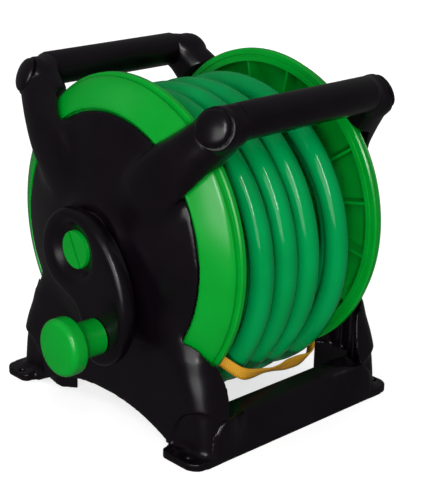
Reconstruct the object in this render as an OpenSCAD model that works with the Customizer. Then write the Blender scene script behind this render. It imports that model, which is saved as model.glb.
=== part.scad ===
// Portable hose reel: a green drum with a wound garden hose turns between two moulded side panels,
// which two grip bars and two base bars tie together. A crank with a mushroom knob winds it.
// Origin: the middle of the four foot screws, on the floor. X runs along the drum's axle, with the
// crank on the -X side, and Z is up. The front is -Y.

/* [Drum] */
// Height of the drum's axle above the floor
axle_h = 140; // [138:0.5:146]
// Outer radius of the two drum flanges
flange_r = 120; // [117:0.5:122]
// Clear width between the two flanges
hose_gap = 133; // [130:0.5:134]
// Depth of a flange, from its hose side to its outer lip
flange_depth = 22.5; // [21.5:0.5:23.5]
// Radius of the flange's outer lip
lip_r = 98.4; // [98:0.1:99.2]
// Wall thickness of the drum mouldings
flange_t = 2.6; // [2:0.1:3]
// Number of stiffening ribs in the flange's hose side
rib_count = 16; // [8:1:24]
// Outer radius of the drum's barrel
barrel_r = 50; // [44:1:56]
// Radius of the drum's trunnions
trunnion_r = 17; // [15:0.5:18]

/* [Hose] */
// Outside diameter of the hose
hose_d = 17.8; // [15:0.1:18]
// Radius of the middle of the outer turns
hose_loop_r = 109; // [105:0.5:110]
// How far the outer turns hang below the axle
hose_drop = 11; // [7:0.5:11.5]

/* [Side panels] */
// Radius of the panel's round shield
disc_r = 95.3; // [93:0.1:95.5]
// Height of the shield's dome
dome_rise = 16; // [14:0.5:18]
// Wall thickness of the black mouldings
skin = 3; // [2.4:0.1:3.6]
// Depth of the frame at the floor, front to back
base_depth = 226; // [222:1:232]
// Distance from the middle to the outer face of a leg, at the floor
leg_out = 95.5; // [94:0.5:98]
// Distance from the middle plane to the end of a base bar
bar_end = 79; // [77:0.5:81]
// Half of the gap between the two leg boxes of one panel
leg_gap = 50; // [46:1:54]
// Height of the arch under a panel
arch_h = 22.5; // [16:0.5:26]
// Half of the span of the arch
arch_y = 84; // [78:1:88]
// Half width of an arm where it leaves the shield
arm_w = 23; // [20:0.5:25]

/* [Grips and base] */
// Radius of a grip bar
grip_r = 13; // [12:0.5:14]
// Distance of a grip bar from the middle plane
grip_y = 105.5; // [104:0.5:108]
// Height of a grip bar's middle above the floor
grip_h = 245; // [243:0.5:250]
// Radius of the elbow ball at the end of an arm
elbow_r = 17; // [16.5:0.5:18]
// Wall thickness of the grip bars
grip_t = 3; // [2.5:0.1:4]
// Height of a base bar
bar_h = 31; // [28:0.5:33]
// Width of a base bar's footprint
bar_w = 26; // [22:0.5:28]

/* [Feet] */
// Distance between the foot screws along the axle
foot_x = 200; // [198:0.5:202]
// Distance between the foot screws front to back
foot_y = 198; // [194:1:202]
// Radius of a foot screw's hole
foot_hole_r = 2.6; // [2:0.1:3]
// Thickness of a foot plate
foot_t = 6; // [5:0.5:7]

/* [Crank] */
// Distance from the axle to the knob's spindle
crank_len = 63; // [56:0.5:68]
// Angle of the crank from straight down, towards the front
crank_lean = 27; // [0:1:60]
// Radius of the crank's round head
crank_head_r = 37; // [35:0.5:38]
// Thickness of the crank
crank_t = 15; // [13:0.5:16]
// Radius of the knob's stem
knob_stem_r = 13; // [11:0.5:14]
// Radius of the knob's head
knob_head_r = 21; // [18:0.5:23]
// Length of the knob
knob_len = 35; // [30:0.5:40]
// Radius of the green locking bolt's head
bolt_head_r = 14.3; // [12:0.1:15]
// Radius of the knob's spindle
spindle_r = 5; // [4:0.1:6]

/* [Fits] */
// Radial running clearance of a shaft in its bush
run_gap = 0.05; // [0.02:0.01:0.09]
// End clearance between parts that turn past each other
end_gap = 0.3; // [0.2:0.05:0.5]

/* [Hidden] */
$fn = 64;

black = [0.07, 0.06, 0.07];
green = [0, 0.6, 0.2];
hose_green = [0, 0.5, 0.28];

half_gap = hose_gap/2;
lip_x = half_gap + flange_depth;
// The band between a flange's rim and its lip is a curve through these shares of its depth
rim_rib_w = 8.5;
rim_drop = 2.5;
ring_w = 10;
web_x = lip_x - 4.5;
web_in = web_x - flange_t;
mouth_r = lip_r - 1.8;
// The shield's edge lies just inside the lip's plane
rim_x = lip_x + 1;
dome_x = rim_x + dome_rise;
dome_R = (disc_r*disc_r + dome_rise*dome_rise)/(2*dome_rise);
pad_r = 34;
pad_x = dome_x + 1.5;
boss_r = 26;
boss_in = web_x + 5.5;
bush_r = trunnion_r + 3;
bush_head_r = bush_r + 5;
bush_head_t = 1.5;
crank_back = pad_x + bush_head_t + end_gap;
crank_face = crank_back + crank_t;
drive_w = 1.3*trunnion_r;
drive_len = 8;
recess_r = 25;
recess_d = 6.5;
bolt_seat = crank_face - recess_d;
bolt_head_t = 3;
bolt_shank_r = 6;
knob_y = -crank_len*sin(crank_lean);
knob_z = axle_h - crank_len*cos(crank_lean);
knob_back = crank_face + end_gap;
knob_head_t = 10;
spindle_len = 24;
foot_out = foot_x/2 + 5.5;
half_base = base_depth/2;
elbow_x = 75.5;
elbow_y = grip_y - 5.5;
elbow_z = grip_h - 5.5;
collar_x = 60;
spigot_r = grip_r - 4;
spigot_len = 12;
arm_angle = atan2(elbow_z - axle_h, elbow_y);
arm_len = norm([elbow_y, elbow_z - axle_h]);
niche_back = 9.4;
niche_shift = 6.8;
niche_half = 24;
niche_h = 40;
niche_depth = 1.8;
rear_plate = 5;
plug_r = 12.7;
plug_dir = [0.87, 0.3, 0.38];
plug_seat = sqrt(elbow_r*elbow_r - (plug_r + 0.4)*(plug_r + 0.4));
tongue = 7;
tongue_w = 10;
plug_stem_r = 4;
plug_stem_len = 7;
hose_gap_min = 0.6;
layer_step = hose_d + hose_gap_min;
core_r = hose_loop_r - layer_step - hose_d/2 - hose_gap_min;

function signed_power(v, e) = sign(v)*pow(abs(v), e);
// Ring of n points round c, a superellipse with half axes a along u and b along v
function super_ring(c, u, v, a, b, e, n) = [for (i = [0:n - 1]) let (t = 360*i/n)
    c + a*signed_power(cos(t), 2/e)*u + b*signed_power(sin(t), 2/e)*v];
function bezier(p, q, r, t) = (1 - t)*(1 - t)*p + 2*t*(1 - t)*q + t*t*r;

// Skin through rings of points that run the same way round, with flat ends
module loft(rings) {
    n = len(rings[0]);
    m = len(rings);
    faces = concat(
        [for (j = [0:m - 2], i = [0:n - 1]) let (a = j*n + i, b = j*n + (i + 1)%n) [a, a + n, b]],
        [for (j = [0:m - 2], i = [0:n - 1]) let (a = j*n + i, b = j*n + (i + 1)%n) [b, a + n, b + n]],
        [[for (i = [0:n - 1]) i]],
        [[for (i = [n - 1:-1:0]) (m - 1)*n + i]]);
    polyhedron([for (r = rings) each r], faces, convexity = 6);
}

// Puts children drawn about Z with their +Z outwards on the axle's line, towards +X
module on_axle() {
    translate([0, 0, axle_h]) rotate([0, 90, 0]) children();
}
module to_crank_side() {
    mirror([1, 0, 0]) children();
}

// Outer half depth, inner edge and corner radius of the leg body at height z
function leg_edge(z) = lookup(z, [[0, half_base - 0.7], [16, half_base - 1], [36, half_base - 3],
    [53, half_base - 7], [65, half_base - 10.5], [73, half_base - 13], [81, half_base - 17.5],
    [90, half_base - 24], [99, half_base - 32], [108, half_base - 42], [118, half_base - 57]]);
function leg_inner(z) = lookup(z, [[0, bar_end], [10, bar_end], [22, bar_end - 1.5], [32, bar_end - 9],
    [45, half_gap + 1.5], [55, half_gap + 2.5], [65, half_gap + 5.5], [77, half_gap + 11.5], [95, half_gap + 18]]);
function leg_corner(z) = lookup(z, [[0, 11], [36, 13], [53, 17], [77, 25], [99, 34], [118, 40]]);

// One level of the leg body: square inner edges, round outer corners and a shallow valley between
function leg_ring(z, inset, inner) = let (
    w = leg_out - inset, y = leg_edge(z) - inset, cy = max(leg_corner(z) - inset, 2), cx = min(cy, w - inner - 1))
    concat([[inner, -y, z], [w - cx, -y, z]],
        [for (a = [-75:15:-15]) [w - cx + cx*cos(a), -y + cy + cy*sin(a), z]],
        [for (s = [-1:0.5:1]) [w, s*(y - cy), z]],
        [for (a = [15:15:75]) [w - cx + cx*cos(a), y - cy + cy*sin(a), z]],
        [[w - cx, y, z], [inner, y, z]]);
module leg_body(inset, opened, bottom, top) {
    heights = [for (z = [bottom, 8, 16, 22, 32, 45, 53, 59, 65, 73, 81, 90, 99, 108, top]) if (z <= top) z];
    loft([for (z = heights) leg_ring(z, inset, opened ? 30 : leg_inner(z))]);
}

// Arm number side (-1 front, 1 rear): rings along the line from the axle to the elbow
function arm_ring(t, inner, outer, half, side, inset) = let (
    dir = [0, side*cos(arm_angle), sin(arm_angle)],
    across = [0, sin(arm_angle), -side*cos(arm_angle)])
    super_ring([(inner + outer)/2, 0, axle_h] + t*dir, [1, 0, 0], across,
        (outer - inner)/2 - inset, half - inset, 2.6, 20);
module arm(side) {
    loft([arm_ring(36, rim_x + 1, dome_x - 4, arm_w - 9, side, 0),
        arm_ring(50, rim_x + 1, dome_x - 3.2, arm_w - 3, side, 0),
        arm_ring(66, rim_x + 1, dome_x - 2.6, arm_w, side, 0),
        arm_ring(84, rim_x, dome_x - 2.6, arm_w, side, 0),
        arm_ring(98, rim_x - 6, dome_x - 3.4, arm_w - 1.5, side, 0),
        arm_ring(110, collar_x + 12, dome_x - 5, arm_w - 3.5, side, 0),
        arm_ring(122, collar_x + 2, dome_x - 7.5, arm_w - 5, side, 0),
        arm_ring(132, collar_x + 0.4, elbow_x + elbow_r + 2, elbow_r, side, 0),
        arm_ring(arm_len, elbow_x - elbow_r + 2, elbow_x + elbow_r - 1, elbow_r - 1, side, 0)]);
}
module arm_pocket(side) {
    loft([arm_ring(80, rim_x - 9, dome_x - 2.6 - skin, arm_w - skin, side, 0),
        arm_ring(98, rim_x - 14, dome_x - 3.4 - skin, arm_w - 1.5 - skin, side, 0),
        arm_ring(110, collar_x - 5, dome_x - 5 - skin, arm_w - 3.5 - skin, side, 0),
        arm_ring(121, collar_x - 12, dome_x - 7.3 - skin, arm_w - 5 - skin, side, 0)]);
}
// Ball of an arm's elbow and the collar that the grip bar slides into
module elbow(side) {
    difference() {
        hull() {
            translate([elbow_x, side*elbow_y, elbow_z]) sphere(elbow_r, $fn = 32);
            translate([collar_x, side*grip_y, grip_h]) rotate([0, 90, 0]) cylinder(3, grip_r, grip_r, $fn = 32);
        }
        // Flat end that the grip bar butts against
        translate([collar_x - 20, side*grip_y, grip_h]) rotate([0, 90, 0]) cylinder(20.02, 30, 30);
    }
}
module grip_socket(side) {
    translate([collar_x - 1, side*grip_y, grip_h]) rotate([0, 90, 0])
        cylinder(spigot_len + 1.5, spigot_r + run_gap, spigot_r + run_gap);
}
// Frame of a plug: its +Z points out of the elbow
module at_plug(side) {
    d = [plug_dir.x, side*plug_dir.y, plug_dir.z];
    translate([elbow_x, side*elbow_y, elbow_z])
        rotate([0, acos(d.z/norm(d)), atan2(d.y, d.x)]) children();
}
module plug_recess(side) {
    at_plug(side) {
        translate([0, 0, plug_seat]) cylinder(10, plug_r + 0.8, plug_r + 0.8);
        translate([0, 0, plug_seat - plug_stem_len - 1]) cylinder(plug_stem_len + 2, plug_stem_r, plug_stem_r);
    }
}

// Room that the turning flange needs, beside the band and the lip
module flange_room() {
    on_axle() {
        cylinder(half_gap + 12, flange_r + 1.5, flange_r + 1.5);
        translate([0, 0, half_gap + 11.9]) cylinder(lip_x + 1.5 - half_gap - 11.9, flange_r + 1.5, lip_r + 1.2);
    }
}

module dome_shell() {
    steps = 10;
    outer = [for (i = [0:steps]) let (r = disc_r*i/steps) [r, rim_x + dome_rise - dome_R + sqrt(dome_R*dome_R - r*r)]];
    inner = [for (i = [0:steps]) let (r = (disc_r - skin)*i/steps) [r, outer[i].y - skin]];
    on_axle() rotate_extrude() polygon(concat(outer,
        [[disc_r, rim_x - 3], [disc_r - skin + 0.5, rim_x - 3]], [for (i = [steps:-1:0]) inner[i]]));
}
module dome_ribs() {
    on_axle() for (a = [22.5:45:359]) rotate(a)
        translate([boss_r - 1, -1.2, rim_x - 2.5]) cube([56 - boss_r, 2.4, 12]);
}
module hub_boss() {
    on_axle() {
        translate([0, 0, boss_in]) cylinder(pad_x - boss_in, boss_r, boss_r);
        translate([0, 0, dome_x - 6]) cylinder(pad_x - dome_x + 6, pad_r, pad_r);
    }
}

// Frame of the wall behind a foot screw: its +X points out of the leg's corner
module at_niche(side) {
    translate([foot_x/2, side*foot_y/2, 0]) rotate(side*30) translate([-niche_back, side*niche_shift, 0]) children();
}
// Room for a screwdriver over the foot screw: a shallow arched recess across the leg's corner
module niche(side) {
    difference() {
        at_niche(side) translate([-15, 0, 0]) rotate([90, 0, 90]) linear_extrude(75) polygon(
            [for (a = [0:10:180]) [niche_half*cos(a), foot_t - 0.5 + (niche_h - foot_t)*sin(a)]]);
        leg_body(niche_depth, false, -2, 60);
    }
}
// Foot plate with round outer corners and a low ledge along the recess
function foot_outline(side, g) = let (c = 12 - g, x = foot_out - g, y = half_base - g + (side > 0 ? rear_plate : 0),
    inner_y = (side > 0 ? foot_y/2 - 12 : foot_y/2 - 25) + g)
    concat([for (a = [-90:15:0]) [x - c + c*cos(a), -y + c + c*sin(a)]],
        [for (a = [0:15:90]) [x - 7 + 7*cos(a), -inner_y - 7 + 7*sin(a)]],
        [[bar_end + 1, -inner_y], [bar_end + 1, -y]]);
module foot_plate(side) {
    mirror([0, side > 0 ? 1 : 0, 0]) {
        linear_extrude(foot_t) polygon(foot_outline(side, 0));
        intersection() {
            linear_extrude(foot_t + 1.5) polygon(foot_outline(side, 1.2));
            at_niche(-1) translate([-2, 2 - niche_half, foot_t - 2]) cube([4.5, 2*niche_half - 4, 3.5]);
        }
    }
}
module arch_cut() {
    steps = 12;
    translate([bar_end + 10, 0, 0]) rotate([90, 0, 90]) linear_extrude(40)
        polygon(concat([[-arch_y, -1], [arch_y, -1]],
            [for (i = [0:2*steps]) let (s = 1 - i/steps) [arch_y*s, arch_h*(1 - pow(abs(s), 2.2))]]));
}
// Inner foot of a leg: a wall that stands on the floor behind the arch, a sill and ribs above
module leg_walls(side) {
    t = skin - 0.4;
    x1 = bar_end + 9;
    y1 = leg_gap + 3;
    mirror([0, side > 0 ? 0 : 1, 0]) {
        linear_extrude(skin - end_gap) polygon([[bar_end, y1], [bar_end + 2, y1], [x1, y1 + 9], [x1, y1 + 18],
            [x1 - 3, y1 + 31], [leg_out - 2, y1 + 36], [leg_out - 2, half_base - 9], [bar_end, half_base - 9]]);
        linear_extrude(bar_h) difference() {
            polygon([[bar_end, y1], [bar_end + 2, y1], [x1, y1 + 9], [x1, y1 + 18], [x1 - 3, y1 + 32], [bar_end, y1 + 32]]);
            polygon([[bar_end - 1, y1 + t], [bar_end + 1.2, y1 + t], [x1 - t, y1 + 10.5], [x1 - t, y1 + 18],
                [x1 - t - 3, y1 + 33], [bar_end - 1, y1 + 33]]);
        }
        for (y = [y1 + 9, y1 + 22, y1 + 35])
            translate([x1 - 4, y, bar_h - 8]) cube([leg_out - x1 + 2, t, 52 - 0.5*(y - y1)]);
    }
}

// One side panel, drawn on the +X side
module side_panel() {
    difference() {
        union() {
            difference() {
                leg_body(0, false, 0, 118);
                leg_body(skin, true, -20, 140);
                arch_cut();
                on_axle() translate([0, 0, bar_end - 20]) cylinder(60, disc_r - 25, disc_r - 25);
            }
            for (side = [-1, 1]) {
                leg_walls(side);
                arm(side);
            }
        }
        for (side = [-1, 1]) {
            arm_pocket(side);
            niche(side);
        }
        flange_room();
    }
}

module crank_side_panel() {
    color(black) to_crank_side() whole_panel();
}
module far_side_panel() {
    color(black) difference() {
        whole_panel();
        on_axle() for (a = [30:120:359]) rotate(a)
            translate([pad_r - 4, 0, pad_x - 5.5]) cylinder(10, 1.7, 1.7);
    }
}
module whole_panel() {
    difference() {
        union() {
            side_panel();
            dome_shell();
            dome_ribs();
            hub_boss();
            for (side = [-1, 1]) {
                elbow(side);
                foot_plate(side);
            }
        }
        on_axle() translate([0, 0, boss_in - 1]) cylinder(40, bush_r, bush_r);
        for (side = [-1, 1]) {
            grip_socket(side);
            plug_recess(side);
            translate([foot_x/2, side*foot_y/2, -1]) cylinder(foot_t + 2, foot_hole_r, foot_hole_r);
        }
    }
}

module plug(side) {
    rise = 4.2;
    edge = 1.6;
    color(black) at_plug(side) translate([0, 0, plug_seat]) rotate_extrude()
        polygon(concat([[0, -plug_stem_len], [plug_stem_r - run_gap, -plug_stem_len],
            [plug_stem_r - run_gap, 0], [plug_r, 0]],
            [for (i = [0:8]) let (a = 90*i/8) [plug_r*cos(a), edge + (rise - edge)*sin(a)]]));
}
module plug_front_crank_side() { to_crank_side() plug(-1); }
module plug_rear_crank_side() { to_crank_side() plug(1); }
module plug_front_far_side() { plug(-1); }
module plug_rear_far_side() { plug(1); }

// Hollow bar between two elbows, with a spigot at each end
module grip_bar(side) {
    color(black) translate([0, side*grip_y, grip_h]) rotate([0, 90, 0]) difference() {
        union() {
            translate([0, 0, -collar_x]) cylinder(2*collar_x, grip_r, grip_r);
            translate([0, 0, -collar_x - spigot_len]) cylinder(2*(collar_x + spigot_len), spigot_r, spigot_r);
        }
        translate([0, 0, -collar_x - spigot_len - 1])
            cylinder(2*(collar_x + spigot_len) + 2, spigot_r - grip_t, spigot_r - grip_t);
    }
}
module front_grip_bar() { grip_bar(-1); }
module rear_grip_bar() { grip_bar(1); }

// Angled channel between the legs, with a tongue at each end that lies in the leg boxes
module base_bar(side) {
    y0 = half_base;
    outer = [[y0, 0], [y0, 2], [y0 - 14, bar_h - 6], [y0 - bar_w + 1, bar_h], [y0 - bar_w, bar_h - 1], [y0 - bar_w, 0]];
    t = skin;
    inner = [[y0 - t, -1], [y0 - t, 2], [y0 - 14 - 0.7*t, bar_h - 6 - 0.8*t], [y0 - bar_w + t, bar_h - 1.2*t],
        [y0 - bar_w + t, -1]];
    length = 2*bar_end - end_gap;
    ease_in = [[39, 0], [33, 0.1], [27, 0.35], [20, 0.7], [14, 0.93], [8.8, 1]];
    swell = [[y0, 0], [y0, 2], [y0 - 2.6, bar_h - 1], [y0 - 4, bar_h], [y0 - bar_w, bar_h - 1], [y0 - bar_w, 0]];
    color(black) mirror([0, side > 0 ? 0 : 1, 0]) {
        for (s = [-1, 1]) scale([s, 1, 1]) difference() {
            loft([for (r = ease_in) [for (i = [0:5]) let (q = (1 - r.y)*outer[i] + r.y*swell[i])
                [bar_end - r.x, q.x, q.y]]]);
            translate([0, 0, -1]) rotate([90, 0, 90]) linear_extrude(200) polygon([[y0 - bar_w + t, 0],
                [y0 - t, 0], [y0 - t, 3], [y0 - 14 - 0.7*t, bar_h - 5 - 0.8*t], [y0 - bar_w + t, bar_h - 1.2*t]]);
        }
        difference() {
            translate([-length/2, 0, 0]) rotate([90, 0, 90]) linear_extrude(length) polygon(outer);
            for (i = [-2:1]) translate([i*length/4 + t/2, 0, 0]) rotate([90, 0, 90])
                linear_extrude(length/4 - t) polygon(inner);
        }
        for (s = [-1, 1]) translate([s > 0 ? length/2 - 2 : -length/2 - tongue, y0 - bar_w, foot_t])
            cube([tongue + 2, tongue_w, 8]);
    }
}
module front_base_bar() { base_bar(-1); }
module rear_base_bar() { base_bar(1); }

// Screws that come up through the leg floors into the base bars' tongues
module base_bar_screws() {
    color("silver") for (sx = [-1, 1], sy = [-1, 1])
        translate([sx*(bar_end + tongue/2), sy*(half_base - bar_w + tongue_w/2), 0]) {
            cylinder(1.4, 3.4, 3.4);
            cylinder(13, 1.6, 1.6);
        }
}

// Flange profile: radius and distance along the axle, from the ring round to the web
module flange(bore) {
    band = [for (i = [0:8]) bezier([flange_r - rim_drop, half_gap + rim_rib_w],
        [flange_r - rim_drop - 2, half_gap + rim_rib_w + 5], [lip_r, lip_x - 1], i/8)];
    back = [for (i = [8:-1:1]) bezier([flange_r - ring_w, half_gap + 7],
        [flange_r - ring_w - 1, half_gap + 11], [mouth_r + 1.5, web_in], i/8)];
    color(green) {
        on_axle() rotate_extrude($fn = 96) polygon(concat(
            [[flange_r - ring_w, half_gap], [flange_r - 6.5, half_gap], [flange_r - 6, half_gap + 0.8],
                [flange_r - 5, half_gap + 0.8], [flange_r - 4.5, half_gap],
                [flange_r - 1, half_gap], [flange_r, half_gap + 1], [flange_r, half_gap + 4],
                [flange_r - 1, half_gap + 5], [flange_r - 3.4, half_gap + 5.4],
                [flange_r - 3.4, half_gap + 7.4]],
            band, [[lip_r - 0.6, lip_x], [mouth_r + 0.4, lip_x], [mouth_r, lip_x - 0.5], [mouth_r, web_x],
                [trunnion_r + 5, web_x], [trunnion_r + 5, boss_in - end_gap], [trunnion_r, boss_in - end_gap],
                [trunnion_r, crank_back], [bore, crank_back], [bore, web_in - 12],
                [trunnion_r, web_in - 12], [trunnion_r, web_in]],
            back));
        on_axle() for (i = [0:rib_count - 1]) rotate(180/rib_count + 360*i/rib_count) rotate([90, 0, 0])
            translate([0, 0, -1]) linear_extrude(2) polygon([[barrel_r + 3, half_gap + 3],
                [flange_r - ring_w + 0.5, half_gap + 3], [flange_r - ring_w + 0.5, half_gap + 8],
                [mouth_r + 2, web_in + 0.5], [barrel_r + 3, web_in + 0.5]]);
    }
}
module far_side_flange() { flange(inlet_r + run_gap); }
module crank_side_flange() {
    to_crank_side() {
        flange(bolt_shank_r + run_gap);
        // Square end that drives the drum from the crank
        color(green) on_axle() translate([0, 0, crank_back - 0.01]) difference() {
            translate([-drive_w/2, -drive_w/2, -4]) cube([drive_w, drive_w, drive_len + 4]);
            translate([0, 0, -5]) cylinder(drive_len + 10, bolt_shank_r + run_gap, bolt_shank_r + run_gap);
        }
    }
}

// Barrel between the two webs
module drum_barrel() {
    color(green) on_axle() translate([0, 0, -web_in]) difference() {
        cylinder(2*web_in, barrel_r, barrel_r);
        translate([0, 0, -1]) cylinder(2*web_in + 2, barrel_r - flange_t, barrel_r - flange_t);
    }
}

module bush() {
    color("ivory") on_axle() rotate_extrude() polygon([[trunnion_r + run_gap, boss_in], [bush_r, boss_in],
        [bush_r, pad_x], [bush_head_r, pad_x], [bush_head_r, pad_x + bush_head_t],
        [trunnion_r + run_gap, pad_x + bush_head_t]]);
}
module far_side_bush() { bush(); }
module crank_side_bush() { to_crank_side() bush(); }

// Inner layers of the hose as one plain body, sagging with the turns above
module hose_core() {
    color(hose_green) difference() {
        translate([0, 0, -hose_drop]) on_axle() translate([0, 0, -half_gap + 1]) cylinder(2*half_gap - 2, core_r, core_r);
        on_axle() translate([0, 0, -half_gap]) cylinder(2*half_gap, barrel_r + end_gap, barrel_r + end_gap);
    }
}

// Outer two layers as one tube. It passes the front once a turn, at these places along the axle:
// first to the far side in the lower layer, then back in the upper one, beside and over those turns.
lower_turns = [-51.75, -28.25, -5.25, 17.5, 48.5];
upper_turns = [37.5, 6, -16.5, -40, -40];
turn_x = [for (x = concat([lower_turns[0]], lower_turns, upper_turns)) x*hose_gap/133];
lower_count = len(lower_turns);
winding_sides = 6;
loop_steps = 24;
function ease(v) = let (c = min(max(v, 0), 1)) c*c*(3 - 2*c);
// Both layers change over behind the drum: the upper turns first, then the lower ones
function turn_at(t) = let (
    k = floor(t), p = t - k, q = (p - 0.32)/0.36,
    upper = k >= lower_count, last_lower = k == lower_count - 1, tail = k == len(turn_x) - 3,
    move = tail ? ease(p/0.3) : upper ? ease(q/0.45) : last_lower ? ease((q - 0.6)/0.4) : ease((q - 0.5)/0.5),
    rest = 0.8 + 0.2*(ease((p - 0.16)/0.14) - ease((p - 0.7)/0.14)),
    dip = upper ? 0 : last_lower ? rest*(1 - ease((q - 0.2)/0.4)) : rest)
    [turn_x[k + 1]*(1 - move) + turn_x[k + 2]*move, hose_loop_r - layer_step*dip, 180 + 360*p];
function winding_point(t) = let (c = turn_at(t))
    [c.x, c.y*cos(c.z), axle_h - hose_drop + c.y*sin(c.z)];
turn_steps = [for (i = [-8:(len(turn_x) - 3)*loop_steps + 7]) winding_point(i/loop_steps)];
function beyond(a, b, reach) = b + reach*(b - a)/norm(b - a);
hose_start = beyond(turn_steps[1], turn_steps[0], hose_d);
hose_end = beyond(turn_steps[len(turn_steps) - 2], turn_steps[len(turn_steps) - 1], hose_d);
winding_path = concat([hose_start], turn_steps, [hose_end]);
self_gap = min([for (i = [0:len(turn_steps) - 1], j = [i + 12:1:len(turn_steps) - 1])
    norm(turn_steps[i] - turn_steps[j])]) - hose_d;
echo(winding_self_gap = self_gap);
function sweep_ring(path, i, r, n) = let (
    a = path[max(i - 1, 0)], b = path[min(i + 1, len(path) - 1)],
    along = (b - a)/norm(b - a), c0 = cross(along, [1, 0, 0]), side = c0/norm(c0), up = cross(along, side))
    [for (k = [0:n - 1]) path[i] + r*(cos(360*k/n)*side + sin(360*k/n)*up)];
module hose_winding() {
    color(hose_green) loft([for (i = [0:len(winding_path) - 1])
        sweep_ring(winding_path, i, hose_d/2, winding_sides)]);
}
module hose_end_connector() {
    n = len(winding_path) - 1;
    d = (winding_path[n] - winding_path[n - 1])/hose_d;
    color("dimgray") translate(winding_path[n]) rotate([0, acos(d.z), atan2(d.y, d.x)]) difference() {
        union() {
            translate([0, 0, -12]) cylinder(14, hose_d/2 + 2, hose_d/2 + 2);
            cylinder(10, 7, 7);
        }
        translate([0, 0, -13]) cylinder(13, hose_d/2 + 0.1, hose_d/2 + 0.1);
        translate([0, 0, -2]) cylinder(14, 4.5, 4.5);
    }
}

// Flat tape that ties the turns down at the lower front, from one flange to the other
strap_w = 10;
strap_t = 1;
strap_tilt = 38;
function strap_lean(x) = lookup(x/half_gap, [[-1, 38], [1, 56]]);
function strap_r(x) = hose_loop_r + lookup(x/half_gap, [[-1, 3], [-0.93, 5.6], [-0.87, 10.3], [-0.81, 16.3],
    [-0.75, 20.2], [-0.69, 21.3], [-0.54, 22.2], [-0.15, 22.3], [0.23, 22], [0.53, 21.6], [0.69, 20.6],
    [0.75, 18], [0.81, 14.5], [0.87, 10.2], [0.93, 5], [1, -1]]);
function strap_ring(x) = let (l = strap_lean(x), n = l - strap_tilt,
    c = [x, -strap_r(x)*cos(l), axle_h - strap_r(x)*sin(l)],
    w = strap_w/2*[0, -sin(n), cos(n)], o = strap_t*[0, -cos(n), -sin(n)])
    [c - w, c + w, c + w + o, c - w + o];
module hose_strap() {
    color("gold") loft([for (i = [-14:14]) strap_ring((half_gap - 0.2)*i/14)]);
}

// Pear-shaped crank with rounded edges, a dished recess for the bolt and a square socket.
// Its outline: distance from the axle towards the knob, and across towards the rear, at a 63 mm throw.
crank_edge = [[-29.5, -9], [-32.2, 1.3], [-30.7, 13.9], [-25.6, 24.2], [-17.8, 32.2], [-9.9, 36.6], [-0.8, 38.6],
    [8.6, 38], [17.1, 34.4], [23.8, 29], [30.8, 23.2], [37.6, 19], [44.4, 17.2], [51.7, 18.2], [58.6, 21.5],
    [66, 24.2], [74.7, 23.4], [82, 18], [86, 9.2], [85.9, -1.1], [81.7, -12.8], [73.1, -24.5], [60.2, -34.4],
    [44.8, -40.6], [27.6, -42.6], [10.5, -40.3], [-5, -34.8], [-19, -24.8]];
function crank_point(i) = let (p = crank_edge[i%len(crank_edge)], share = min(max(p.x/63, 0), 1))
    [p.x*(1 - share) + share*(p.x + crank_len - 63), p.y*crank_head_r/37];
function curve_point(i, t) = let (n = len(crank_edge), a = crank_point(i + n - 1), b = crank_point(i),
    c = crank_point(i + 1), d = crank_point(i + 2))
    0.5*(2*b + (c - a)*t + (2*a - 5*b + 4*c - d)*t*t + (3*b - a - 3*c + d)*t*t*t);
// Ring of the outline, inset by g, at height h above the crank's back
function crank_ring(g, h) = [for (i = [len(crank_edge) - 1:-1:0], t = [0.5, 0]) let (
    p = curve_point(i, t), q = curve_point(i, t + 0.05), d = (q - p)/norm(q - p))
    [p.x + g*d.y, p.y - g*d.x, h]];
module crank_body() {
    e = 6;
    levels = [[7.2, -1], [2, 1], [0.5, 3], [0, e], [0, crank_t - e], [0.5, crank_t - 3], [2, crank_t - 1],
        [7.2, crank_t + 1]];
    intersection() {
        rotate(-crank_lean) loft([for (l = levels) crank_ring(l.x, l.y)]);
        translate([-100, -100, 0]) cube([220, 200, crank_t]);
    }
}
module on_knob() {
    translate([0, knob_y, knob_z]) rotate([0, 90, 0]) children();
}
module crank_arm() {
    color(black) to_crank_side() difference() {
        on_axle() translate([0, 0, crank_back]) crank_body();
        on_axle() {
            translate([0, 0, bolt_seat]) cylinder(recess_d + 1, bolt_head_r + 1, recess_r);
            translate([0, 0, crank_back - 1]) cylinder(crank_t, bolt_shank_r + run_gap, bolt_shank_r + run_gap);
            translate([-drive_w/2 - run_gap, -drive_w/2 - run_gap, crank_back - 1])
                cube([drive_w + 2*run_gap, drive_w + 2*run_gap, drive_len + 1.1]);
        }
        on_knob() translate([0, 0, crank_back - 1]) cylinder(crank_t + 2, spindle_r, spindle_r);
    }
}
module crank_bolt() {
    color(green) to_crank_side() on_axle() difference() {
        union() {
            translate([0, 0, bolt_seat]) cylinder(bolt_head_t, bolt_head_r, bolt_head_r - 0.6);
            translate([0, 0, crank_back + drive_len + 0.1 - 14]) cylinder(bolt_seat - crank_back - drive_len + 14, bolt_shank_r, bolt_shank_r);
        }
        rotate(-crank_lean) translate([-bolt_head_r, -1.2, bolt_seat + 1]) cube([2*bolt_head_r, 2.4, 4]);
    }
}
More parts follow.
